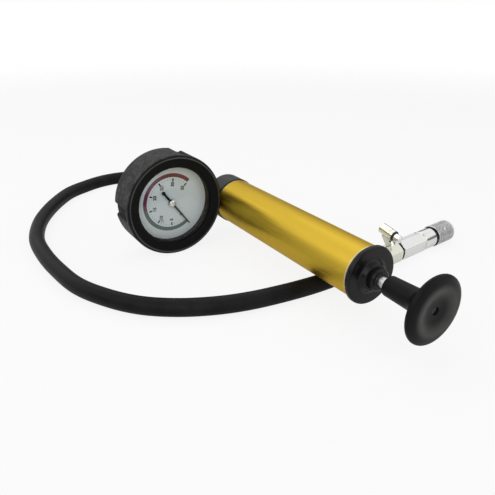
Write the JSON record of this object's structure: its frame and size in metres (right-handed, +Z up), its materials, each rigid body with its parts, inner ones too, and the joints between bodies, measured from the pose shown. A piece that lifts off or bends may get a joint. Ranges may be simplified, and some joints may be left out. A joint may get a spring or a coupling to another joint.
{
  "type": "gearcase pressure tester",
  "caption": "Hand-pumped pressure tester with a gold barrel, a plunger knob, a booted dial gauge, and a hose that ends in a release valve and quick coupler.",
  "frame": {"origin": "on the ground under the middle of the pump's own box, hose and fitting left out", "axes": "+X along the barrel towards the knob, +Z up, with the gauge on the -Y side"},
  "size_m": [0.3965, 0.299, 0.0781],
  "materials": {
    "gold_anodised": "gold anodised, glossy",
    "black_plastic": "moulded, satin",
    "knob_plastic": "moulded, satin gloss",
    "brass": "machined",
    "steel": "zinc plated",
    "polished_steel": "hard chromed rod",
    "nickel": "nickel plated, bright",
    "knurled_steel": "knurled, nickel plated",
    "rubber": "seal rubber",
    "boot_rubber": "moulded rubber, matte",
    "hose_rubber": "smooth rubber, matte",
    "acetal": "machined",
    "case_paint": "black enamel",
    "lens": "clear, flat",
    "dial_white": "white enamel with printed scale",
    "pointer_black": "black enamel",
    "bronze": "phosphor bronze",
    "copper": "annealed copper"
  },
  "bodies": {
    "pump": {"barrel": "gold_anodised", "front_cap": "black_plastic", "rod_bush": "brass", "rod_wiper": "rubber", "gland_ring": "black_plastic", "head": "black_plastic", "head_seal": "rubber", "valve_seat": "brass", "check_spring": "steel", "hose_nipple": "brass", "gauge_boot": "boot_rubber", "gauge_case": "case_paint", "gauge_bezel": "case_paint", "gauge_lens": "lens", "lens_gasket": "rubber", "gauge_dial": "dial_white", "dial_spacers": "brass", "dial_screws": "steel", "hairspring": "brass", "movement_back": "brass", "movement_front": "brass", "movement_pillars": "brass", "bourdon_tube": "bronze", "bourdon_tip": "brass", "gauge_socket": "brass", "stem_washer": "copper", "hose": "hose_rubber", "head_ferrule": "steel", "valve_ferrule": "steel", "valve_body": "nickel", "button_ring": "rubber", "release_spring": "steel", "release_plug": "steel", "body_ring": "rubber", "coupler_body": "nickel", "coupler_seal": "rubber", "sleeve_ring": "rubber", "sleeve_spring": "steel", "lock_balls": "steel", "retaining_ring": "steel"},
    "plunger": {"plunger_rod": "polished_steel", "knob": "knob_plastic", "knob_screw": "steel", "piston": "acetal", "piston_seal": "rubber", "piston_washer": "steel", "piston_nut": "steel"},
    "pointer": {"pointer": "pointer_black", "pointer_arbor": "brass"},
    "sector": {"sector_gear": "brass"},
    "link": {"link": "brass"},
    "check_ball": {"check_ball": "steel"},
    "release_button": {"release_button": "nickel"},
    "coupler_sleeve": {"coupler_sleeve": "knurled_steel"}
  },
  "joints": [
    {"name": "plunger_slide", "type": "slide", "parent": "pump", "child": "plunger", "axis": [1, 0, 0], "range_m": [0, 0.11]},
    {"name": "sector_turn", "type": "hinge", "parent": "pump", "child": "sector", "pos_m": [-0.10325, -0.01134, 0.02733], "axis": [1, 0, 0], "range_deg": [0, 38.57], "deforming": ["bourdon_tube", "bourdon_tip", "hairspring"]},
    {"name": "pointer_turn", "type": "hinge", "parent": "pump", "child": "pointer", "pos_m": [-0.10325, -0.01978, 0.039], "axis": [-1, 0, 0], "range_deg": [0, 270]},
    {"name": "link_turn", "type": "hinge", "parent": "sector", "child": "link", "pos_m": [-0.10325, -0.00721, 0.03418], "axis": [-1, 0, 0], "range_deg": [0, 38.6]},
    {"name": "check_valve_lift", "type": "slide", "parent": "pump", "child": "check_ball", "axis": [-1, 0, 0], "range_m": [0, 0.0012], "stiffness_N_per_m": 100, "deforming": ["check_spring"]},
    {"name": "release_press", "type": "slide", "parent": "pump", "child": "release_button", "axis": [-0.96, -0.1068, 0.2588], "range_m": [0, 0.0022], "stiffness_N_per_m": 600, "deforming": ["release_spring"]},
    {"name": "coupler_draw", "type": "slide", "parent": "pump", "child": "coupler_sleeve", "axis": [0.1106, -0.9939, 0], "range_m": [0, 0.0022], "stiffness_N_per_m": 1500, "deforming": ["sleeve_spring"]}
  ],
  "couplings": [
    {"joint": "pointer_turn", "follows": "sector_turn", "ratio": 7},
    {"joint": "link_turn", "follows": "sector_turn", "ratio": 1}
  ]
}
